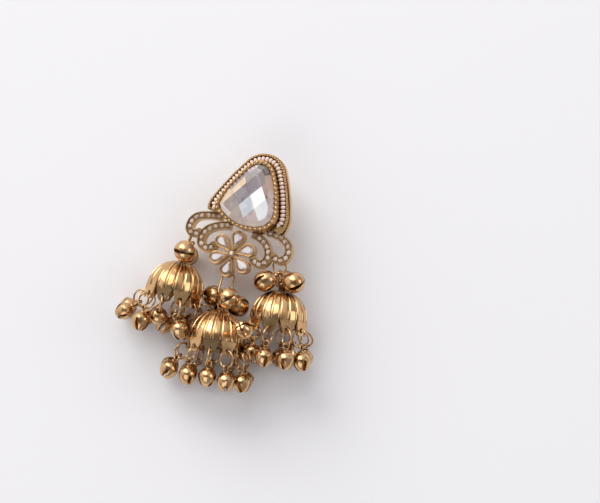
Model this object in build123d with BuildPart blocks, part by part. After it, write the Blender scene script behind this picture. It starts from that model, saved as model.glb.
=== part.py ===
from build123d import *
import os
from math import cos, pi, radians, sin, sqrt

# A jhumka earring lying face up on a flat surface. Millimetres and degrees, +Z up, +Y towards the head.
# The origin is under the middle of the whole piece, on the surface.

os.makedirs("parts", exist_ok=True)

on_foot = (Align.CENTER, Align.CENTER, Align.MIN)
hung_down = (Align.CENTER, Align.CENTER, Align.MAX)

# ---- Driving dimensions ----
# Where the head lies. It rests on its post and leans to its left.
middle_of_layout = (1.68, -0.84)
flower_spot = (8.0, 4.4, 9.1)   # back of the flower's middle, before centring
head_lean = 14                  # degrees, the right side is the higher
head_turn = 18                  # degrees clockwise seen from above

# The head: the stone's outline is a triangle with bowed sides and round corners.
stone_left, stone_right, stone_apex = (-7.9, 12.6), (9.3, 11.25), (1.4, 29.0)
bow_left, bow_right, bow_bottom = 1.3, 1.75, 3.3
round_left, round_right, round_apex = 1.9, 4.2, 3.6
gallery_out, gallery_top_out = 0.98, 0.85  # wall outside the stone, at its foot and its top
seat_gap = 0.08
channel_width = 1.7
rim_width = 0.55
band_step, band_height = 0.3, 1.9          # the base band stands proud of the rim
channel_end = 11.2                         # the bead channel stops here, along the head's y
rim_end, rim_end_tilt = 9.9, -4            # the rim runs on to a slanted end below the channel
back_thick = 0.7
channel_floor, rim_top, ledge_top = 2.6, 3.5, 6.1
seat_level, stone_ledge = 4.3, 1.6
grain_radius, grain_count, grain_out = 0.45, 42, 0.53
strip_height, strip_gap = 1.15, 0.12

# The stone: its rows of corners from the base up, as (level, scale about its middle).
stone_middle = (0.7, 16.4)
stone_sides = 20
stone_rows = ((4.36, 0.62), (5.75, 1.0), (6.0, 1.0), (7.2, 0.8), (8.2, 0.5))

# The scrolls, two on the left and two on the right: where each starts, its direction there, and
# the points its arcs run to.
scroll_table = (
    ((-3.6, 7.9), (-1, -0.1), ((-9.4, 5.7), (-11.1, 1.4), (-6.9, 1.0))),
    ((-6.9, 9.6), (-1, 0.0), ((-13.5, 8.4), (-15.8, 4.2), (-12.5, 3.6))),
    ((3.4, 7.2), (1, 0), ((8.6, 5.2), (9.9, 1.0), (5.9, 0.3))),
    ((7.7, 9.0), (1, 0.1), ((14.2, 7.4), (15.3, 3.2), (11.6, 2.7))),
)
scroll_thick, scroll_width = 2.3, 2.3
trough_deep, trough_wall = 0.35, 0.3
pave_radius, pave_pitch, pave_sides = 0.72, 1.78, 8
pave_rows = ((-0.34, 0.5), (0.0, 1.0), (0.1, 1.0), (0.4, 0.55))

# The flower.
flower_middle = (-0.45, 0.1)
petal_count, first_petal = 6, 27
petal_reach, petal_radius, petal_tip = 5.1, 1.95, 0.9
petal_wall, petal_height, petal_floor = 0.4, 2.8, 1.5
petal_stone_rows = ((1.55, 0.6), (2.5, 1.0), (2.65, 1.0), (3.3, 0.6))
cup_radius, cup_height, cup_bore = 1.15, 3.0, 0.75
centre_rows = ((2.35, 0.5), (2.9, 1.0), (3.05, 1.0), (3.5, 0.55))

# The post behind the head.
post_spot = (1.2, 17.5)
post_radius = 0.45
pad_radius, pad_thick = 2.2, 0.5

# Domes with pierced tabs round the rim and a loop on the crown.
dome_radius, dome_height, dome_wall = 8.3, 9.0, 0.6
dome_tip = 6                               # degrees, the crown is the higher end
dome_band = 0.7                            # straight part at the mouth
flute_count, flute_radius = 20, 0.7
flute_back, flute_sweep = 0.42, 9.07       # middle of the cutter's arc past the axis, and its radius
tab_count, tab_radius, tab_drop, tab_thick = 10, 1.5, 2.0, 0.45
tab_out, tab_width = 8.0, 4.9
hole_radius = 0.75
loop_radius, loop_wire = 0.95, 0.28
loop_out = 1.35                            # loop's middle above the crown
neck_radius, neck_height = 1.1, 0.5

# Slit bells, their rings and the links.
bell_radius, bell_foot, bell_wall = 2.7, 2.78, 0.35
cap_radius, lip_radius, lip_level = 2.5, 2.62, 0.55   # the body's rim stands out under the cap
foot_radius, belly = 1.15, 0.34
top_bell_radius, top_bell_drop = 3.05, 0.68
shoulder = 0.15                            # a top bell's crown sits in from its lower half
slit_wide, slit_narrow = 1.1, 0.3
collar_radius, collar_height = 0.85, 0.55
eye_radius, eye_wire, eye_out = 0.85, 0.27, 1.1
ring_radius, ring_wire = 2.4, 0.27
cluster_radius, cluster_wire = 2.2, 0.3
link_width, link_wire, link_corner, link_slack = 3.8, 0.3, 1.4, 0.75
lug_radius, lug_wire = 0.75, 0.28

# Each dome: middle of the mouth before centring, yaw and angle of its first tab; then the lug it
# hangs from and the root of the lug's stem, both in the head's own frame.
dome_table = (
    ("left", (-9.6, -6.3, 10.2), 14, -14, (-15.05, -0.01, 0.54), (-15.0, 1.9, 0.8)),
    ("middle", (2.5, -20.7, 10.2), 8.6, -4, (-0.5, -5.6, -1.0), (-0.5, -5.6, 0.5)),
    ("right", (20.4, -14.8, 10.2), 7.5, -14, (12.6, 2.4, -1.0), (12.6, 2.4, 0.5)),
)

# How each rim bell hangs: its tab, the ring's droop and turn, the bell's droop and turn, and how
# far the ring is rolled about its own direction.
rim_tables = {
    "left": (
        (0, 42, 20, 63, 23, -30),
        (1, 15, 12, 21, -12, 1),
        (2, 40, 33, 41, 47, 15),
        (3, 50, -52, 43, -97, -5),
        (4, 28, 18, -3, 26, 40),
        (5, -4, 35, -2, 37, 30),
        (6, -11, 37, 10, 54, 4),
        (7, 11, 60, 28, 71, -5),
        (8, 20, 40, 9, 62, 25),
        (9, 20, 23, -6, 12, 10),
    ),
    "middle": (
        (0, 30, 8, 21, 8, 1),
        (1, 10, 6, 9, 0, -20),
        (2, 8, -3, 9, -6, 36),
        (3, 7, -12, 38, 4, -36),
        (4, 16, 5, -4, 24, -36),
        (5, -6, 22, -4, 21, -38),
        (6, 8, 14, -4, 46, 10),
        (7, 13, 45, 14, 46, 3),
        (8, 2, 37, 3, 35, -30),
        (9, 15, 22, 20, 6, -20),
    ),
    "right": (
        (0, 10, 11, 8, 9, 17),
        (1, 7, 3, 8, 3, -9),
        (2, 7, -2, 8, -3, -11),
        (3, 34, -6, 30, 9, 30),
        (4, -18, 21, -23, 24, -5),
        (5, 2, 11, -10, 8, 42),
        (6, -17, 10, -20, 11, 3),
        (7, 11, 21, 29, 15, -36),
        (8, -12, -11, -5, -1, -36),
        (9, -40, 20, -58, 130, 14),
    ),
}
# The top bells: how far round its ring each sits, from the head side over the top, then its droop
# and turn.
top_tables = {
    "left": ((120, -118, 145), (-55, 90, 67)),
    "middle": ((-51, 38, 103), (148, -125, 77), (-111, 24, -85)),
    "right": ((68, -4, 64), (136, -36, -84), (-90, 96, 96)),
}


def spot(x, y, z):
    """A place on the surface's frame, centred on the whole piece."""
    return Vector(x - middle_of_layout[0], y - middle_of_layout[1], z)


def heading(droop, turn):
    """Unit direction: turn 0 is towards -Y, positive to -X; droop is the angle below level."""
    return Vector(
        -cos(radians(droop)) * sin(radians(turn)),
        -cos(radians(droop)) * cos(radians(turn)),
        -sin(radians(droop)),
    )


# ---- The head's frame: its back is z = 0, its face points along +z ----
head_normal = Vector(-sin(radians(head_lean)), 0, cos(radians(head_lean)))
head_across = Vector(cos(radians(head_lean)), 0, sin(radians(head_lean)))
head_plane = Plane(
    origin=spot(*flower_spot),
    x_dir=head_across.rotate(Axis((0, 0, 0), head_normal), -head_turn),
    z_dir=head_normal,
)


def outset(corners, out):
    """Corners of the same triangle, taken anticlockwise, with each side moved out."""
    points = [Vector(*corner) for corner in corners]
    moved = []
    for index, point in enumerate(points):
        before = (point - points[index - 1]).normalized()
        after = (points[(index + 1) % 3] - point).normalized()
        normal_before = Vector(before.Y, -before.X)
        normal_after = Vector(after.Y, -after.X)
        shift = (normal_before + normal_after) * (out / (1 + normal_before.dot(normal_after)))
        moved.append(point + shift)
    return moved


def bowed(start, end, bow):
    """Middle point of a side that bows out to the right of its direction."""
    side = end - start
    outward = Vector(side.Y, -side.X).normalized()
    return (start + end) * 0.5 + outward * bow


def head_outline(level, out):
    """The head's outline at a level, this far outside the stone, before the head is laid down."""
    left, right, apex = outset((stone_left, stone_right, stone_apex), out)
    with BuildSketch(Plane.XY.offset(level)) as face:
        with BuildLine():
            ThreePointArc(left, bowed(left, right, bow_bottom), right)
            ThreePointArc(right, bowed(right, apex, bow_right), apex)
            ThreePointArc(apex, bowed(apex, left, bow_left), left)
        make_face()
        for corner, radius in ((left, round_left), (right, round_right), (apex, round_apex)):
            fillet(face.vertices().sort_by_distance(corner)[0], radius + out)
    return face.sketch


def horseshoe(level, out, end, tilt=0):
    """The head's outline with the part below a line taken off; the line crosses x = 0 at y = end."""
    with BuildSketch(Plane.XY.offset(level)) as face:
        add(head_outline(level, out))
        with Locations((0, end)):
            Rectangle(70, 40, rotation=tilt, align=(Align.CENTER, Align.MAX), mode=Mode.SUBTRACT)
    return face.sketch


def scroll_wire(start, way, knots):
    """Middle line of a scroll."""
    place, tangent = Vector(*start), Vector(*way)
    edges = []
    for knot in knots:
        arc = TangentArc(place, Vector(*knot), tangent=tangent)
        edges.append(arc)
        place, tangent = arc @ 1, arc % 1
    return Wire(edges)


def row_of(count, wire):
    """Places spread evenly along a wire, half a step in from each end."""
    return [wire.position_at((index + 0.5) / count) for index in range(count)]


def cut_stone(corners, middle, rows):
    """A faceted stone: the same corners at each row's level, drawn in about the middle by its scale."""
    centre = Vector(*middle)
    with BuildPart() as stone:
        for (low, low_scale), (high, high_scale) in zip(rows, rows[1:]):
            faces = []
            for level, scale in ((low, low_scale), (high, high_scale)):
                ring = [centre + (Vector(c.X, c.Y) - centre) * scale for c in corners]
                with BuildSketch(Plane.XY.offset(level)) as face:
                    with BuildLine():
                        Polyline(*ring, close=True)
                    make_face()
                faces.append(face.sketch)
            loft(faces, ruled=True)
    return stone.part


def round_corners(middle, radius, sides):
    """Corners of a regular polygon."""
    step = 2 * pi / sides
    return [
        Vector(*middle) + Vector(cos(step * (i + 0.5)), sin(step * (i + 0.5))) * radius
        for i in range(sides)
    ]


def petal_outline(inset):
    """One petal along +x: round outside, pointed towards the middle."""
    with BuildSketch() as face:
        with Locations((petal_reach, 0)):
            Circle(petal_radius - inset)
        with Locations((petal_tip + 2.2 * inset, 0)):
            Circle(0.15)
        make_hull()
    return face.sketch


flower_place = Location((*flower_middle, 0))
petal_turns = [first_petal + 360 / petal_count * index for index in range(petal_count)]
scrolls = [scroll_wire(*scroll) for scroll in scroll_table]
pave_places = [
    place for wire in scrolls for place in row_of(round(wire.length / pave_pitch), wire)
]
trough_level = scroll_thick - trough_deep

# ---- The setting, one soldered and cast piece: base, bead channel, gallery, scrolls, flower, lugs ----
channel_out = gallery_out + channel_width
rim_out = channel_out + rim_width
with BuildPart() as flat_setting:
    # base and rim
    extrude(head_outline(0, gallery_out), amount=channel_floor)
    extrude(horseshoe(0, rim_out + band_step, rim_end, rim_end_tilt), amount=band_height)
    extrude(horseshoe(0, rim_out, rim_end, rim_end_tilt), amount=rim_top)
    extrude(horseshoe(channel_floor, channel_out, channel_end), amount=2, mode=Mode.SUBTRACT)
    # gallery wall with the stone's seat
    loft([head_outline(channel_floor, gallery_out), head_outline(ledge_top, gallery_top_out)])
    extrude(head_outline(seat_level, seat_gap), amount=3, mode=Mode.SUBTRACT)
    extrude(head_outline(back_thick, -stone_ledge), amount=3, mode=Mode.SUBTRACT)
    # row of grains round the stone
    grain_line = head_outline(ledge_top, grain_out).faces()[0].outer_wire()
    with Locations(*row_of(grain_count, grain_line)):
        Sphere(grain_radius)
    # scrolls with their troughs and seats
    for wire in scrolls:
        extrude(trace(wire, scroll_width), amount=scroll_thick)
        with Locations(wire @ 1):
            Cylinder(scroll_width / 2, scroll_thick, align=on_foot)
    for wire in scrolls:
        with BuildSketch(Plane.XY.offset(trough_level)) as trough:
            add(trace(wire, scroll_width - 2 * trough_wall))
        extrude(trough.sketch, amount=1, mode=Mode.SUBTRACT)
    # flower
    for turn in petal_turns:
        extrude(flower_place * petal_outline(0).rotate(Axis.Z, turn), amount=petal_height)
    with Locations(flower_middle):
        Cylinder(cup_radius, cup_height, align=on_foot)
    for turn in petal_turns:
        hollow = petal_outline(petal_wall).rotate(Axis.Z, turn).moved(Location((0, 0, petal_floor)))
        extrude(flower_place * hollow, amount=3, mode=Mode.SUBTRACT)
    with Locations((*flower_middle, centre_rows[0][0] - 0.05)):
        Cylinder(cup_bore, 2, align=on_foot, mode=Mode.SUBTRACT)
    # seats of the small stones
    with Locations(*[place + Vector(0, 0, trough_level - 0.4) for place in pave_places]):
        Cylinder(pave_radius + 0.04, 2, align=on_foot, mode=Mode.SUBTRACT)


# ---- Where each hanging chain goes ----
def ring_normal(along, up):
    """Normal of a ring that holds both directions in its plane."""
    return along.cross(up).normalized()


domes = {}
for name, mouth, yaw, first_tab, lug, root in dome_table:
    axis = heading(dome_tip, yaw)
    middle = spot(*mouth)
    crown_loop = middle - axis * (dome_height + loop_out)
    lug_eye = head_plane.from_local_coords(Vector(*lug))
    stem_root = head_plane.from_local_coords(Vector(*root))
    way = (lug_eye - crown_loop).normalized()
    side = way.cross(head_normal).normalized()
    # the ring turns part of the way from the dome's axis towards the lug, in a plane square to side
    flat_axis = (axis * -1 + side * axis.dot(side)).normalized()
    lean = (flat_axis + way).normalized()
    cluster = crown_loop + lean * cluster_radius
    pull = (lug_eye - cluster).normalized()
    half_link = ((lug_eye - cluster).length - cluster_radius + link_slack) / 2
    domes[name] = dict(
        middle=middle, axis=axis, first_tab=first_tab, crown_loop=crown_loop, lug_eye=lug_eye,
        stem_root=stem_root, way=way, side=side, lean=lean, cluster=cluster, pull=pull,
        half_link=half_link, link=lug_eye - pull * half_link,
        plane=Plane(origin=middle, x_dir=Vector(cos(radians(yaw)), -sin(radians(yaw)), 0), z_dir=-axis),
    )

# lugs under the head, each a ring on a short stem
with BuildPart() as setting:
    add(head_plane.location * flat_setting.part)
    for dome in domes.values():
        with Locations(Plane(origin=dome["lug_eye"], z_dir=dome["side"])):
            Torus(lug_radius, lug_wire)
        stem = (dome["stem_root"] - dome["lug_eye"]).normalized()
        start = dome["lug_eye"] + stem * (lug_radius - 0.1)
        with BuildSketch(Plane(origin=start, z_dir=stem)) as stem_face:
            Circle(0.45)
        extrude(stem_face.sketch, amount=(dome["stem_root"] - start).length)
setting.part.label = "setting"
export_step(setting.part, "parts/setting.step")

# ---- Stones ----
stone_line = head_outline(0, 0).faces()[0].outer_wire()
with BuildPart() as main_stone:
    stone_corners = row_of(stone_sides, stone_line)
    add(head_plane.location * cut_stone(stone_corners, stone_middle, stone_rows))
main_stone.part.label = "main_stone"
export_step(main_stone.part, "parts/main_stone.step")

with BuildPart() as petal_stones:
    pear = petal_outline(petal_wall + 0.06).faces()[0].outer_wire()
    petal_stone = cut_stone(row_of(12, pear), (petal_reach - 0.3, 0), petal_stone_rows)
    for turn in petal_turns:
        add(head_plane.location * flower_place * petal_stone.rotate(Axis.Z, turn))
petal_stones.part.label = "petal_stones"
export_step(petal_stones.part, "parts/petal_stones.step")

with BuildPart() as centre_stone:
    corners = round_corners((0, 0), cup_bore - 0.05, 10)
    add(head_plane.location * flower_place * cut_stone(corners, (0, 0), centre_rows))
centre_stone.part.label = "centre_stone"
export_step(centre_stone.part, "parts/centre_stone.step")

with BuildPart() as pave_stones:
    corners = round_corners((0, 0), pave_radius, pave_sides)
    pave_stone = cut_stone(corners, (0, 0), pave_rows)
    for place in pave_places:
        lift = Location((place.X, place.Y, trough_level))
        add(head_plane.location * lift * pave_stone)
pave_stones.part.label = "pave_stones"
export_step(pave_stones.part, "parts/pave_stones.step")

# ---- Bead strip in the channel ----
with BuildPart() as bead_strip:
    strip_foot = channel_floor + 0.05
    with BuildSketch(Plane.XY.offset(strip_foot)) as strip:
        add(horseshoe(strip_foot, channel_out - strip_gap, channel_end + strip_gap))
        add(head_outline(strip_foot, gallery_out + strip_gap), mode=Mode.SUBTRACT)
    band = extrude(strip.sketch, amount=strip_height, mode=Mode.PRIVATE)
    add(head_plane.location * band)
bead_strip.part.label = "bead_strip"
export_step(bead_strip.part, "parts/bead_strip.step")

# ---- Ear post: a pad behind the head and a pin that reaches the surface ----
with BuildPart() as ear_post:
    pad_spot = head_plane.from_local_coords(Vector(*post_spot, -0.05))
    post_length = (pad_spot.Z - post_radius * sin(radians(head_lean))) / cos(radians(head_lean))
    with BuildSketch(Plane(origin=pad_spot, z_dir=-head_normal)) as pad:
        Circle(pad_radius)
    extrude(pad.sketch, amount=pad_thick)
    with BuildSketch(Plane(origin=pad_spot, z_dir=-head_normal)) as pin:
        Circle(post_radius)
    extrude(pin.sketch, amount=post_length)
ear_post.part.label = "ear_post"
export_step(ear_post.part, "parts/ear_post.step")

# ---- Domes: fluted shell, pierced tabs, neck and loop ----
with BuildPart() as shell:
    round_radius = dome_height - dome_band
    hollow_radius = round_radius - dome_wall
    Cylinder(dome_radius, dome_band, align=on_foot)
    with Locations((0, 0, dome_band)):
        Sphere(round_radius, 0, 90, align=on_foot)
    Cylinder(hollow_radius, dome_band, align=on_foot, mode=Mode.SUBTRACT)
    with Locations((0, 0, dome_band)):
        Sphere(hollow_radius, 0, 90, align=on_foot, mode=Mode.SUBTRACT)
    # flutes, shallower towards the crown
    for index in range(flute_count):
        turn = 360 * index / flute_count
        across = Vector(0, 1, 0).rotate(Axis.Z, turn)
        middle = Vector(-flute_back, 0, dome_band).rotate(Axis.Z, turn)
        with Locations(Plane(origin=middle, z_dir=across)):
            Torus(flute_sweep, flute_radius, mode=Mode.SUBTRACT)
    # tabs round the mouth, the first one towards -y
    for index in range(tab_count):
        turn = radians(index * 360 / tab_count - 90)
        out = Vector(cos(turn), sin(turn))
        tab_plane = Plane(origin=out * (tab_out - tab_thick / 2), x_dir=(-out.Y, out.X, 0), z_dir=out)
        with BuildSketch(tab_plane) as tab:
            with Locations((0, 0.4)):
                Rectangle(tab_width, 0.2)
            with Locations((0, -tab_drop)):
                Circle(tab_radius)
            make_hull()
            with Locations((0, -tab_drop)):
                Circle(hole_radius, mode=Mode.SUBTRACT)
        extrude(tab.sketch, amount=tab_thick)
    # neck
    with Locations((0, 0, dome_height - 0.3)):
        Cylinder(neck_radius, neck_height + 0.3, align=on_foot)

dome_parts = {}
for name, dome in domes.items():
    with BuildPart() as dome_part:
        add(dome["plane"].location * shell.part.rotate(Axis.Z, dome["first_tab"]))
        with Locations(Plane(origin=dome["crown_loop"], z_dir=dome["side"].cross(dome["lean"]))):
            Torus(loop_radius, loop_wire)
    dome_part.part.label = "dome_" + name
    dome_parts[name] = dome_part
for name, dome_part in dome_parts.items():
    export_step(dome_part.part, "parts/dome_" + name + ".step")

# ---- Links from the head, and the ring each dome hangs on with its top bells ----
for name, dome in domes.items():
    with BuildPart() as link:
        pull = dome["pull"]
        frame = Plane(origin=dome["link"], x_dir=pull, z_dir=dome["side"].cross(pull))
        with BuildSketch(frame) as outline:
            RectangleRounded(2 * dome["half_link"], link_width, link_corner)
        path = outline.sketch.faces()[0].outer_wire()
        with BuildSketch(Plane(origin=path @ 0, z_dir=path % 0)) as section:
            Circle(link_wire)
        sweep(section.sketch, path=path)
    link.part.label = "hanger_link_" + name
    export_step(link.part, "parts/hanger_link_" + name + ".step")

    with BuildPart() as cluster_ring:
        with Locations(Plane(origin=dome["cluster"], z_dir=dome["side"])):
            Torus(cluster_radius, cluster_wire)
    cluster_ring.part.label = "cluster_ring_" + name
    export_step(cluster_ring.part, "parts/cluster_ring_" + name + ".step")


# ---- Slit bells ----
def half_bell(inset):
    """Half of a rim bell for a spin: a domed cap, a lip, and a body that tapers to its foot."""
    crown = cap_radius - inset
    edge = sqrt(crown**2 - lip_level**2)
    lip = Vector(lip_radius - inset, lip_level)
    foot = Vector(foot_radius - inset, inset - bell_foot)
    flank = (lip + foot) / 2 + Vector(belly, -0.6 * belly)
    with BuildSketch(Plane.XZ) as half:
        with BuildLine():
            Line((0, foot.Y), foot)
            ThreePointArc(foot, flank, lip)
            Line(lip, (edge, lip_level))
            ThreePointArc((edge, lip_level), Vector(crown, 0).rotate(Axis.Z, 50), (0, crown))
            Line((0, crown), (0, foot.Y))
        make_face()
    return half.sketch


def slits(radius, level, turns):
    """Slots that run in from the bell's side to its middle, narrow on the way, and start at a level."""
    with BuildSketch(Plane.XY.offset(level)) as slots:
        for turn in turns:
            reach = Vector(radius + 0.1 - slit_wide / 2, 0).rotate(Axis.Z, turn)
            with BuildSketch(mode=Mode.PRIVATE) as slot:
                Circle(slit_narrow / 2)
                with Locations(reach):
                    Circle(slit_wide / 2)
                make_hull()
            add(slot.sketch)
    return slots.sketch


def with_eye(body, radius, crown):
    """A bell's body with a collar on its crown and an eye above it, facing y."""
    with BuildPart() as bell:
        add(body)
        with Locations((0, 0, crown - 0.2)):
            Cylinder(collar_radius, collar_height, align=on_foot)
        with Locations(Plane(origin=(0, 0, radius + eye_out), z_dir=(0, 1, 0))):
            Torus(eye_radius, eye_wire)
    return bell.part


# rim bell: hangs straight down with its middle at the origin, and has four slits
with BuildPart() as rim_body:
    revolve(half_bell(0), axis=Axis.Z)
    revolve(half_bell(bell_wall), axis=Axis.Z, mode=Mode.SUBTRACT)
    extrude(slits(lip_radius, 0.3, (45, 135, 225, 315)), amount=-6, mode=Mode.SUBTRACT)
rim_bell = with_eye(rim_body.part, bell_radius, cap_radius)

# top bell: rounder, with one long slit
with BuildPart() as top_body:
    for thick, mode in ((0, Mode.ADD), (bell_wall, Mode.SUBTRACT)):
        with Locations((0, 0, -top_bell_drop)):
            Cylinder(top_bell_radius - thick, top_bell_drop, align=on_foot, mode=mode)
            Sphere(top_bell_radius - thick, -90, 0, align=hung_down, mode=mode)
        Sphere(top_bell_radius - shoulder - thick, 0, 90, align=on_foot, mode=mode)
    extrude(slits(top_bell_radius, -0.25, (0, 180)), amount=-6, mode=Mode.SUBTRACT)
top_bell = with_eye(top_body.part, top_bell_radius, top_bell_radius - shoulder)


def hung(bell, radius, eye, hang, across):
    """The bell with its eye at a place, its body towards hang and its eye facing across."""
    facing = (across - hang * across.dot(hang)).normalized()
    frame = Plane(origin=eye + hang * (radius + eye_out), x_dir=facing.cross(-hang), z_dir=-hang)
    return frame.location * bell


for name, dome in domes.items():
    rings = []
    for tab, droop, turn, bell_droop, bell_turn, roll in rim_tables[name]:
        angle = radians(dome["first_tab"] + tab * 360 / tab_count)
        out = dome["plane"].x_dir * sin(angle) - dome["plane"].y_dir * cos(angle)
        hole = dome["middle"] + dome["axis"] * tab_drop + out * tab_out
        along, hang = heading(droop, turn), heading(bell_droop, bell_turn)
        across = (out - along * out.dot(along)).normalized().rotate(Axis((0, 0, 0), along), roll)
        rings.append((hole + along * ring_radius, ring_normal(along, across)))
        eye = hole + along * 2 * ring_radius
        with BuildPart() as bell:
            add(hung(rim_bell, bell_radius, eye, hang, across))
        bell.part.label = "bell_" + name + "_" + str(tab + 1)
        export_step(bell.part, "parts/" + bell.part.label + ".step")
    with BuildPart() as rim_rings:
        for middle, normal in rings:
            with Locations(Plane(origin=middle, z_dir=normal)):
                Torus(ring_radius, ring_wire)
    rim_rings.part.label = "rim_rings_" + name
    export_step(rim_rings.part, "parts/rim_rings_" + name + ".step")

    for number, (angle, droop, turn) in enumerate(top_tables[name], start=1):
        swing = radians(angle)
        above = dome["side"].cross(dome["way"])
        eye = dome["cluster"] + (dome["way"] * cos(swing) + above * sin(swing)) * cluster_radius
        tangent = above * cos(swing) - dome["way"] * sin(swing)
        with BuildPart() as bell:
            add(hung(top_bell, top_bell_radius, eye, heading(droop, turn), tangent))
        bell.part.label = "top_bell_" + name + "_" + str(number)
        export_step(bell.part, "parts/" + bell.part.label + ".step")
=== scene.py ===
# A jhumka earring lying face up on a pale table: a crystal head with a beaded rim, scrolls and a
# stone flower, three fluted domes on links, and clusters of slit bells.
import math
import random

import bmesh
import bpy
from mathutils import Matrix, Vector
from mathutils.bvhtree import BVHTree


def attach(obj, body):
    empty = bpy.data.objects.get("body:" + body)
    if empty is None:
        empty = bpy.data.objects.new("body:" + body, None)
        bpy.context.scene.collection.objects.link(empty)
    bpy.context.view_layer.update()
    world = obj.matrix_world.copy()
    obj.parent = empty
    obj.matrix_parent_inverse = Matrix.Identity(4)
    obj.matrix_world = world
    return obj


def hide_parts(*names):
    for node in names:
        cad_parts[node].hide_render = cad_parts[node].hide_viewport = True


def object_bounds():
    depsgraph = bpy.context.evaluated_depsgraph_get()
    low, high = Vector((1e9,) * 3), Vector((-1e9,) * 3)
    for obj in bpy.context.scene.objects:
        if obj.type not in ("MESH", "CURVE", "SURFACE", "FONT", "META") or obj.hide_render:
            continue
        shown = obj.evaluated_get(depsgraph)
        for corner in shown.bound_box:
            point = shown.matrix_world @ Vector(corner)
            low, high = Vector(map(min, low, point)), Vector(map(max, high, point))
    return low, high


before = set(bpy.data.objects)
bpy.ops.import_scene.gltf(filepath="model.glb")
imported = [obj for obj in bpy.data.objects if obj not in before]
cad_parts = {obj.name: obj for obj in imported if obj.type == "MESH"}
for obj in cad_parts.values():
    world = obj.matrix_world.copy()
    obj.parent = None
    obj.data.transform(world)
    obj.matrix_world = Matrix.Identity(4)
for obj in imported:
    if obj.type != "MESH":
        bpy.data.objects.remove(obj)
cad_low, cad_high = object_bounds()

# ---- Camera ----
# A product camera on a copy stand, ten degrees off straight down, aimed to the right of the
# earring where its pair would lie.
MM = 0.001
camera_place = (25.02, -52.64, 344.68)
camera_tilt = math.radians(10)
camera = bpy.data.objects.new("camera", bpy.data.cameras.new("camera"))
camera.data.lens = 70
camera.data.clip_start = 0.01
camera.location = Vector(camera_place) * MM
camera.rotation_euler = (camera_tilt, 0, 0)
bpy.context.scene.collection.objects.link(camera)
bpy.context.scene.camera = camera
bpy.context.scene.view_settings.view_transform = "Standard"


# ---- Table and light ----
# A sheet of matt white card. A large window stands low at the head end on the left with a bounce
# board beside it, weaker panels fill the shadows from the right and from the bells' end, and the
# room is brighter on the window's side and dark straight above, where the camera's stand is.
def linear(hex_colour):
    """sRGB hex to the linear values that a shader takes."""
    parts = [int(hex_colour[i:i + 2], 16) / 255 for i in (0, 2, 4)]
    straight = [c / 12.92 if c <= 0.04045 else ((c + 0.055) / 1.055) ** 2.4 for c in parts]
    return (*straight, 1.0)


def material(name):
    """A new material with its node tree, and its shader."""
    made = bpy.data.materials.new(name)
    made.use_nodes = True
    return made, made.node_tree, made.node_tree.nodes["Principled BSDF"]


def add_node(tree, kind, settings=None, links=None, **values):
    """A node with its settings, its sockets' values, and links to its sockets by name or number."""
    node = tree.nodes.new(kind)
    for key, value in (settings or {}).items():
        setattr(node, key, value)
    for key, value in values.items():
        node.inputs[key.replace("_", " ")].default_value = value
    for key, source in (links or {}).items():
        tree.links.new(source, node.inputs[key])
    return node


card_half, card_gap = 1500, 0.05
card, _, card_shader = material("matt white card")
card_shader.inputs["Base Color"].default_value = linear("F4F4F7")
card_shader.inputs["Roughness"].default_value = 0.9
card_shader.inputs["Specular IOR Level"].default_value = 0.1
table_mesh = bpy.data.meshes.new("table")
table_bm = bmesh.new()
bmesh.ops.create_grid(table_bm, x_segments=2, y_segments=2, size=card_half * MM)
bmesh.ops.translate(table_bm, verts=table_bm.verts, vec=(0, 0, cad_low.z - card_gap * MM))
table_bm.to_mesh(table_mesh)
table_bm.free()
table_mesh.materials.append(card)
table = bpy.data.objects.new("table", table_mesh)
bpy.context.scene.collection.objects.link(table)


def soft_lamp(name, place, size, power, colour):
    """A square panel that faces the earring; places and sizes in millimetres."""
    lamp = bpy.data.objects.new(name, bpy.data.lights.new(name, "AREA"))
    lamp.data.shape = "SQUARE"
    lamp.data.size = size * MM
    lamp.data.energy = power
    lamp.data.color = linear(colour)[:3]
    lamp.location = Vector(place) * MM
    lamp.rotation_euler = (-lamp.location).to_track_quat("-Z", "Y").to_euler()
    lamp.visible_camera = False
    bpy.context.scene.collection.objects.link(lamp)


soft_lamp("window", (-700, 1080, 820), 950, 9.3, "FFFCF8")
soft_lamp("bounce board", (-230, 620, 1050), 700, 3.2, "FFFDFA")
soft_lamp("side panel", (900, 100, 560), 500, 1.5, "FBFAFF")
soft_lamp("fill panel", (-420, -980, 760), 900, 3.1, "FFFCFA")

room = bpy.data.worlds.new("room")
room.use_nodes = True
room_light = room.node_tree.nodes["Background"]
room_light.inputs["Color"].default_value = linear("F6F5F8")
heading = add_node(room.node_tree, "ShaderNodeTexCoord").outputs["Generated"]


def towards(way):
    """How far a direction in the room points this way, from -1 to 1."""
    node = add_node(
        room.node_tree, "ShaderNodeVectorMath", {"operation": "DOT_PRODUCT"}, {0: heading}
    )
    node.inputs[1].default_value = Vector(way).normalized()
    return node.outputs["Value"]


window_side = add_node(
    room.node_tree, "ShaderNodeMapRange", {"interpolation_type": "SMOOTHSTEP"},
    {"Value": towards((-0.5, 0.7, 0.5))}, From_Min=0.0, From_Max=0.95, To_Min=0.38, To_Max=1.15,
)
# The camera and its stand block the light from straight above.
stand = add_node(
    room.node_tree, "ShaderNodeMapRange", {"interpolation_type": "SMOOTHSTEP"},
    {"Value": towards((-0.25, 0.0, 1.0))}, From_Min=0.7, From_Max=0.94, To_Min=1.0, To_Max=0.25,
)
brightness = add_node(
    room.node_tree, "ShaderNodeMath", {"operation": "MULTIPLY"},
    {0: window_side.outputs["Result"], 1: stand.outputs["Result"]},
)
room.node_tree.links.new(brightness.outputs["Value"], room_light.inputs["Strength"])
bpy.context.scene.world = room


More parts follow.
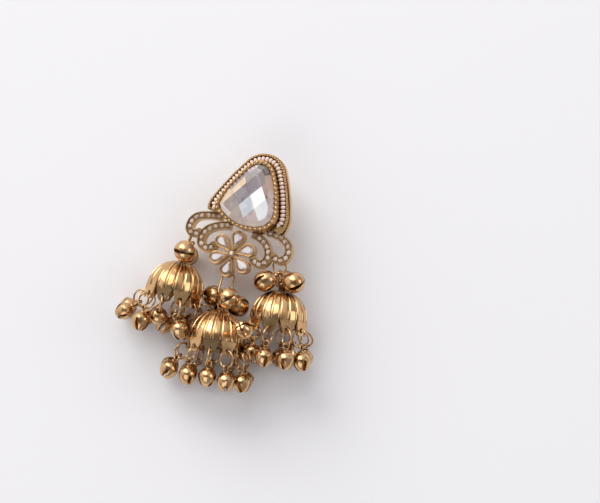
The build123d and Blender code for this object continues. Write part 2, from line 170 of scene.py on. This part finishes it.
# ---- Setting ----
# One soldered brass casting: base, bead channel, stone gallery, scrolls, flower and lugs. It is
# plated in pale matt gold and patinated, and its hollows are painted dark brown, patina and painted
# shade together.
def antique_gold(name, high, low, patina_and_shade, rough, reach):
    """Plated brass, cloudy between two golds, with its hollows painted dark in the third colour,
    partly patina and partly painted shade; reach is how far in millimetres that darkening creeps out
    of a hollow. Clouds and grain are counted to the metre."""
    clouds, grains, grain_height = 300.0, 1800.0, 0.05
    made, tree, shader = material(name)
    place = add_node(tree, "ShaderNodeTexCoord").outputs["Object"]
    cloud = add_node(tree, "ShaderNodeTexNoise", None, {"Vector": place}, Scale=clouds, Detail=3.0)
    tone = add_node(tree, "ShaderNodeMix", {"data_type": "RGBA"}, {0: cloud.outputs["Fac"]})
    tone.inputs[6].default_value = linear(low)
    tone.inputs[7].default_value = linear(high)
    # Patina and painted shade: occlusion darkens the hollows towards the third colour.
    hollow = add_node(tree, "ShaderNodeAmbientOcclusion", {"samples": 8}, Distance=reach * MM)
    clear_of_shade = add_node(
        tree, "ShaderNodeMapRange", None, {"Value": hollow.outputs["AO"]},
        From_Min=0.3, From_Max=0.92,
    )
    colour = add_node(
        tree, "ShaderNodeMix", {"data_type": "RGBA"}, {0: clear_of_shade.outputs["Result"], 7: tone.outputs[2]}
    )
    colour.inputs[6].default_value = linear(patina_and_shade)
    tree.links.new(colour.outputs[2], shader.inputs["Base Color"])
    shader.inputs["Metallic"].default_value = 1.0
    finish = add_node(
        tree, "ShaderNodeMapRange", None, {"Value": cloud.outputs["Fac"]},
        To_Min=rough - 0.05, To_Max=rough + 0.08,
    )
    tree.links.new(finish.outputs["Result"], shader.inputs["Roughness"])
    grain = add_node(tree, "ShaderNodeTexNoise", None, {"Vector": place}, Scale=grains, Detail=2.0)
    bump = add_node(
        tree, "ShaderNodeBump", None, {"Height": grain.outputs["Fac"]}, Strength=0.15,
        Distance=grain_height * MM,
    )
    tree.links.new(bump.outputs["Normal"], shader.inputs["Normal"])
    return made


def dress(name, finish):
    """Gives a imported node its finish."""
    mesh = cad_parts[name].data
    mesh.materials.clear()
    mesh.materials.append(finish)


cast_gold = antique_gold(
    "antique gold plate on cast brass", "F0CF9C", "BC8B52", "7A4A22", rough=0.2, reach=0.8
)
dress("setting", cast_gold)
dress("ear_post", cast_gold)

# The head's own frame in millimetres, as it leans on its post: x across, y up the head, z out of
# its face, from the back of the flower's middle.
lean, turn = math.radians(14), math.radians(18)
face = Vector((-math.sin(lean), 0, math.cos(lean)))
head_x = Matrix.Rotation(-turn, 3, face) @ Vector((math.cos(lean), 0, math.sin(lean)))
head_y = face.cross(head_x)
flower_back = Vector((6.32, 5.24, 9.1))
head = Matrix.Translation(flower_back * MM) @ Matrix(
    [(head_x[i] * MM, head_y[i] * MM, face[i] * MM, 0) for i in range(3)] + [(0, 0, 0, 1)]
)


def in_head_frame(node_name):
    """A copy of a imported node's mesh, welded, in the head's own millimetres."""
    weld = 0.002 * MM
    copy = bmesh.new()
    copy.from_mesh(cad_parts[node_name].data)
    bmesh.ops.remove_doubles(copy, verts=copy.verts, dist=weld)
    bmesh.ops.transform(copy, matrix=head.inverted(), verts=copy.verts)
    return copy


def head_piece(name, shape, finish, smooth=True):
    """Makes a piece that moves with the head, of a mesh in the head's own millimetres."""
    bmesh.ops.transform(shape, matrix=head, verts=shape.verts)
    mesh = bpy.data.meshes.new(name)
    shape.to_mesh(mesh)
    shape.free()
    mesh.materials.append(finish)
    if smooth:
        mesh.shade_smooth()
    piece = bpy.data.objects.new(name, mesh)
    bpy.context.scene.collection.objects.link(piece)
    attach(piece, "root")
    return piece


def spaced(points, pitch):
    """Places at an even pitch along a run of points, each with its direction; a leap between two
    points ends one stretch and starts the next."""
    leap = 2
    places, ahead = [], pitch / 2
    for here, there in zip(points, points[1:]):
        length = (there - here).length
        if length > leap:
            continue
        while ahead < length:
            places.append((here.lerp(there, ahead / length), (there - here).normalized()))
            ahead += pitch
        ahead -= length
    return places


# ---- Bead channel trim ----
# Milgrain: rows of tiny grains rolled along the rim outside the beads and on the step of the
# base under it, in the same gold. The real grains are finer; these are drawn coarser.
stone_middle, strip_level = Vector((0.7, 16.4, 0)), 3.2
rays, beyond = 1440, 30  # rays that feel the bead strip from inside and, this far out, from outside
on_rim, on_step = (0.4, 0.36), (0.86, -1.24)  # out from the strip, up from its middle
grain_pitch, grain_radius = 0.8, 0.3
strip = in_head_frame("bead_strip")
strip_tree = BVHTree.FromBMesh(strip)
strip.free()
channel, rim_line, step_line = [], [], []
for count in range(rays):
    angle = math.radians(-90 + 360 * count / rays)
    way = Vector((math.cos(angle), math.sin(angle), 0))
    start = stone_middle + Vector((0, 0, strip_level))
    inner = strip_tree.ray_cast(start, way)[0]
    outer = strip_tree.ray_cast(start + way * beyond, -way)[0]
    if inner is None or outer is None:
        continue
    channel.append((inner + outer) / 2)
    for line, (out, up) in ((rim_line, on_rim), (step_line, on_step)):
        line.append(outer + way * out + Vector((0, 0, up)))
milgrain = bmesh.new()
for line in (rim_line, step_line):
    for spot, _ in spaced(line, grain_pitch):
        bmesh.ops.create_icosphere(
            milgrain, subdivisions=2, radius=grain_radius, matrix=Matrix.Translation(spot)
        )
head_piece("milgrain", milgrain, cast_gold)


# ---- Petal bezels ----
# A drawn gold wire soldered round each drop stone and a rounder one along the petal's edge; both
# are pressed down on the petal wall.
def tube(shape, line, radius, sides=8):
    """A closed round wire along a flat run of points."""
    rings = []
    for index, spot in enumerate(line):
        ahead = (line[(index + 1) % len(line)] - line[index - 1]).normalized()
        across = ahead.cross(Vector((0, 0, 1)))
        rings.append([
            shape.verts.new(spot + (across * math.cos(a) + Vector((0, 0, math.sin(a)))) * radius)
            for a in (2 * math.pi * side / sides for side in range(sides))
        ])
    for index, ring in enumerate(rings):
        last = rings[index - 1]
        for side in range(sides):
            shape.faces.new((last[side - 1], last[side], ring[side], ring[side - 1]))


# A petal is a large arc about its far middle and a small one about its tip, joined by flanks.
flower_middle, petals, first_petal = Vector((-0.45, 0.1, 0)), 6, 27
petal_reach, petal_radius, petal_tip, tip_radius = 5.1, 1.95, 0.9, 0.15
bezel_wires = ((0.14, 2.8, 0.17), (0.44, 2.84, 0.13))  # inset from the edge, level, radius
far_steps, tip_steps = 36, 8
tip_inset = 2.2  # how much faster the narrow tip draws in than the sides
bezels = bmesh.new()
for petal in range(petals):
    bearing = math.radians(first_petal + 360 / petals * petal)
    to_petal = Matrix.Translation(flower_middle) @ Matrix.Rotation(bearing, 4, "Z")
    for inset, level, wire in bezel_wires:
        near, far = petal_tip + tip_inset * inset, petal_radius - inset
        flank = math.acos((far - tip_radius) / (petal_reach - near))
        line = []
        for step in range(far_steps + 1):
            angle = (math.pi - flank) * (2 * step / far_steps - 1)
            line.append(Vector((petal_reach + far * math.cos(angle), far * math.sin(angle), level)))
        for step in range(tip_steps + 1):
            angle = math.pi - flank + 2 * flank * step / tip_steps
            line.append(
                Vector((near + tip_radius * math.cos(angle), tip_radius * math.sin(angle), level))
            )
        tube(bezels, [to_petal @ spot for spot in line], wire)
bmesh.ops.recalc_face_normals(bezels, faces=bezels.faces)
head_piece("petal_bezels", bezels, cast_gold)

# ---- Seed beads ----
# Round ivory glass seed beads set side by side along the channel, each a little out of line.
# Their holes run along the row and don't show.
bead_pitch, bead_radius = 1.17, 0.86
random.seed(4)
beads = bmesh.new()
for spot, along in spaced(channel, bead_pitch):
    size = bead_radius * random.uniform(0.96, 1.03)
    askew = Vector([random.uniform(-0.06, 0.06) for _ in range(3)])
    facing = (along + askew).to_track_quat("Z", "Y")
    shape = Matrix.Translation(spot) @ facing.to_matrix().to_4x4()
    shape = shape @ Matrix.Diagonal((size, size, bead_pitch / 2, 1))
    bmesh.ops.create_uvsphere(beads, u_segments=14, v_segments=9, radius=1.0, matrix=shape)
ivory, ivory_tree, ivory_shader = material("ivory glass with a pearl lustre")
ivory_place = add_node(ivory_tree, "ShaderNodeTexCoord").outputs["Object"]
ivory_cloud = add_node(ivory_tree, "ShaderNodeTexNoise", None, {"Vector": ivory_place}, Scale=700.0)
ivory_tone = add_node(
    ivory_tree, "ShaderNodeMix", {"data_type": "RGBA"}, {0: ivory_cloud.outputs["Fac"]}
)
ivory_tone.inputs[6].default_value = linear("F9D9C6")
ivory_tone.inputs[7].default_value = linear("FFF0E6")
bead_shade_reach = 0.35  # how far the painted shade creeps up between the beads
bead_shade = add_node(
    ivory_tree, "ShaderNodeAmbientOcclusion", {"samples": 8}, Distance=bead_shade_reach * MM
)
ivory_colour = add_node(
    ivory_tree, "ShaderNodeMix", {"data_type": "RGBA"},
    {0: bead_shade.outputs["AO"], 7: ivory_tone.outputs[2]},
)
# The brown of the painted shade between the beads.
ivory_colour.inputs[6].default_value = linear("B08058")
ivory_tree.links.new(ivory_colour.outputs[2], ivory_shader.inputs["Base Color"])
ivory_shader.inputs["Roughness"].default_value = 0.28
ivory_shader.inputs["Coat Weight"].default_value = 0.3
seed_beads = head_piece("seed_beads", beads, ivory)
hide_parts("bead_strip")


# ---- Main stone ----
# Machine-cut crystal with foil behind it. Its face is cut in a chequer of lozenge facets that
# run with its two long sides, and each is painted with the reflection it shows.
def foiled_glass(name, shard, dark, light, share, table="FFFFFF", table_highlight_share=0.0):
    """Foiled glass with painted reflections: shards from dark to light, of a shard's size, cover a
    share of each facet's painted tone. The stone's table is the flat top level with the head and
    takes its own tone as a painted highlight."""
    made, tree, shader = material(name)
    place = add_node(tree, "ShaderNodeTexCoord").outputs["Object"]
    # Painted reflections inside the glass, in shards from dark to light.
    reflection_shards = add_node(
        tree, "ShaderNodeTexVoronoi", {"distance": "MANHATTAN"}, {"Vector": place}, Scale=1000 / shard
    )
    value = add_node(tree, "ShaderNodeSeparateColor", None, {0: reflection_shards.outputs["Color"]})
    shade = add_node(tree, "ShaderNodeMix", {"data_type": "RGBA"}, {0: value.outputs[0]})
    shade.inputs[6].default_value = linear(dark)
    shade.inputs[7].default_value = linear(light)
    facet = add_node(tree, "ShaderNodeAttribute", {"attribute_name": "facet"})
    colour = add_node(
        tree, "ShaderNodeMix", {"data_type": "RGBA"}, {6: facet.outputs["Color"], 7: shade.outputs[2]}
    )
    colour.inputs[0].default_value = share
    level = add_node(
        tree, "ShaderNodeVectorMath", {"operation": "DOT_PRODUCT"},
        {0: add_node(tree, "ShaderNodeNewGeometry").outputs["True Normal"]},
    )
    level.inputs[1].default_value = face
    # Painted highlight: faces level with the head take the table's tone.
    table_highlight_mask = add_node(
        tree, "ShaderNodeMapRange", None, {"Value": level.outputs["Value"]},
        From_Min=0.98, From_Max=0.995, To_Max=table_highlight_share,
    )
    blend = add_node(
        tree, "ShaderNodeMix", {"data_type": "RGBA"},
        {0: table_highlight_mask.outputs["Result"], 6: colour.outputs[2]},
    )
    blend.inputs[7].default_value = linear(table)
    tree.links.new(blend.outputs[2], shader.inputs["Base Color"])
    shader.inputs["Metallic"].default_value = 0.1
    shader.inputs["Roughness"].default_value = 0.12
    shader.inputs["Coat Weight"].default_value = 1.0
    shader.inputs["Coat Roughness"].default_value = 0.02
    return made


cad_stone = in_head_frame("main_stone")
corners = [vert.co.copy() for vert in cad_stone.verts]
cad_stone.free()
foot_level, girdle_level, crown_level = 5.5, 6.0, 8.1
block, skin = 60, 0.1  # the raw block, and what the lozenges take off its top
sides, bevel_rise = 48, 0.95
crystal = bmesh.new()
bmesh.ops.create_cube(crystal, size=block, matrix=Matrix.Translation((0, 16, 0)))


def cut(place, normal):
    """Grinds off what lies beyond a plane and closes the face."""
    touch = 0.00001
    whole = crystal.verts[:] + crystal.edges[:] + crystal.faces[:]
    made = bmesh.ops.bisect_plane(
        crystal, geom=whole, dist=touch, plane_co=place, plane_no=normal, clear_outer=True
    )
    rim = [item for item in made["geom_cut"] if isinstance(item, bmesh.types.BMEdge)]
    if rim:
        bmesh.ops.edgeloop_fill(crystal, edges=rim)


cut(Vector((0, 0, foot_level)), Vector((0, 0, -1)))
cut(Vector((0, 0, crown_level + skin)), Vector((0, 0, 1)))
for count in range(sides):
    angle = math.radians(360 / sides * count)
    side = Vector((math.cos(angle), math.sin(angle), 0))
    far = max(corners, key=lambda corner: corner.dot(side))
    cut(far, side)
    if count % 2 == 0:
        cut(Vector((far.x, far.y, girdle_level)), side + Vector((0, 0, bevel_rise)))
# Lozenges: planes that touch a low dome at the crossings of a lattice whose rows run 54.8 degrees
# to either side of the head's x.
lattice = Matrix(((0.576, 0.576), (0.817, -0.817))) @ Matrix.Diagonal((4.2, 4.0))
lattice_middle, dome_top = Vector((3.71, 17.23)), Vector((0.7, 16.8))
dome_fall = 0.16
facet_spots = {}
for row in range(-4, 5):
    for step in range(-4, 5):
        spot = lattice_middle + lattice @ Vector((row, step))
        facet_spots[(row, step)] = spot
        steps = lattice.inverted() @ (spot - dome_top)
        slope = lattice.inverted().transposed() @ steps * 2 * dome_fall
        level = crown_level - dome_fall * steps.length_squared
        cut(Vector((spot.x, spot.y, level)), Vector((slope.x, slope.y, 1)))
# Painted reflections: the colour each lozenge mirrors, by its row and step in the lattice; two of them
# are painted with the window's blaze.
painted_lozenge_reflections = {
    (0, 0): "FFFFFF", (0, 1): "FBFCFC", (0, 2): "F2EAEA", (0, -1): "8A7E82", (-1, -1): "857A80",
    (0, -2): "64564F", (-1, -2): "EBCFA8", (-2, -1): "9A8A82", (-1, 0): "DCE3EA", (-2, 0): "B3A496",
    (-1, 1): "CDB6B4", (-2, 1): "CDB8B4", (1, -1): "4E3C36", (1, -2): "8E7E84", (1, 0): "8A6450",
    (1, 1): "B0A2AA",
}
# Painted reflections on the small facets round the edge, anticlockwise from the head's right.
painted_edge_reflections = (
    "A08274", "CFAE98", "54423C", "BDB2B8", "7A6C70", "EFD2AE", "E6C9A6", "E8DCD4", "D6CAC2",
    "F0E2DC", "F2DEDA", "DCC6C2",
)
# Each facet is painted with the colour of the reflection it shows.
facet_reflection_paint = crystal.loops.layers.float_color.new("facet")
for cut_face in crystal.faces:
    middle = cut_face.calc_center_median()
    nearest = min(facet_spots, key=lambda key: (facet_spots[key] - middle.xy).length)
    bearing = math.atan2(middle.y - dome_top.y, middle.x - dome_top.x) % (2 * math.pi)
    if cut_face.normal.z > 0.9 and nearest in painted_lozenge_reflections:
        shade = linear(painted_lozenge_reflections[nearest])
    else:
        share_of_turn = bearing / (2 * math.pi)
        shade = linear(painted_edge_reflections[int(share_of_turn * (len(painted_edge_reflections) - 0.001))])
    for loop in cut_face.loops:
        loop[facet_reflection_paint] = shade
main_stone = head_piece(
    "crystal", crystal, foiled_glass("foiled crystal", 2.6, "6C6064", "FFFFFF", 0.16),
    smooth=False,
)
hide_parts("main_stone")

# ---- Small stones ----
# Drop-shaped stones in the petals, a round one in the flower's cup and champagne chatons along
# the scrolls, all foiled, with painted reflections and a painted highlight on each table. Each
# chaton is held by four tiny prongs raised from its trough.
small_stones = (  # node, glass, size of its painted reflections, their dark and light, the table's painted highlight and its share
    ("petal_stones", "foiled drop stones", 3.0, "9A807A", "F2E4E2", "FFFFFF", 0.7),
    ("centre_stone", "foiled round stone", 0.8, "A58C78", "FFF3E6", "FFF6EC", 0.5),
    ("pave_stones", "foiled champagne chatons", 0.8, "946448", "FFF8F0", "F0CCB4", 0.35),
)
for name, glass, shard, dark, light, top, top_highlight_share in small_stones:
    dress(name, foiled_glass(glass, shard, dark, light, 1.0, top, top_highlight_share))
prongs_each, prong_radius, prong_out = 4, 0.22, 0.8
chatons = in_head_frame("pave_stones")
seen, middles = set(), []
for start in chatons.verts:
    if start in seen:
        continue
    island, front = [], [start]
    seen.add(start)
    while front:
        here = front.pop()
        island.append(here.co)
        for link in here.link_edges:
            other = link.other_vert(here)
            if other not in seen:
                seen.add(other)
                front.append(other)
    middles.append(sum(island, Vector()) / len(island))
chatons.free()
prongs = bmesh.new()
for middle in middles:
    others = [other for other in middles if other is not middle]
    way = min(others, key=lambda other: (other - middle).length) - middle
    way.z = 0
    way.normalize()
    for prong in range(prongs_each):
        bearing = math.radians(360 / prongs_each * (prong + 0.5))
        spot = middle + Matrix.Rotation(bearing, 3, "Z") @ way * prong_out
        bmesh.ops.create_icosphere(
            prongs, subdivisions=1, radius=prong_radius, matrix=Matrix.Translation(spot)
        )
head_piece("chaton_prongs", prongs, cast_gold)

# ---- Domes ----
# Stamped brass caps with soldered loops, fluted to the band above the pierced tabs. The flutes
# are painted dark with patina and painted shade, and the ridges stay bright.
# Its dark brown is patina and painted shade in the flutes.
dome_gold = antique_gold(
    "antique gold plate on stamped domes", "F2CE9A", "B9844C", "4A2409", rough=0.15, reach=2.4
)
for name in ("dome_left", "dome_middle", "dome_right"):
    dress(name, dome_gold)

# ---- Rings and links ----
# Drawn brass wire bent into jump rings and long links, plated bright and painted dark with patina and
# painted shade where they meet.
wire_gold = antique_gold(
    "antique gold plate on drawn wire", "E6C496", "B08450", "301808", rough=0.2, reach=0.8
)
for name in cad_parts:
    if name.startswith(("rim_rings", "cluster_ring", "hanger_link")):
        dress(name, wire_gold)

# ---- Bells ----
# Slit bells stamped from thin brass sheet in two halves and barrel plated. They hang from the
# rings by a loop, and patina and painted shade darken them round the loop and in the slits.
bell_gold = antique_gold(
    "antique gold plate on stamped bells", "EDC99A", "B28250", "4A2409", rough=0.18, reach=1.2
)
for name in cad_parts:
    if name.startswith(("bell_", "top_bell_")):
        dress(name, bell_gold)
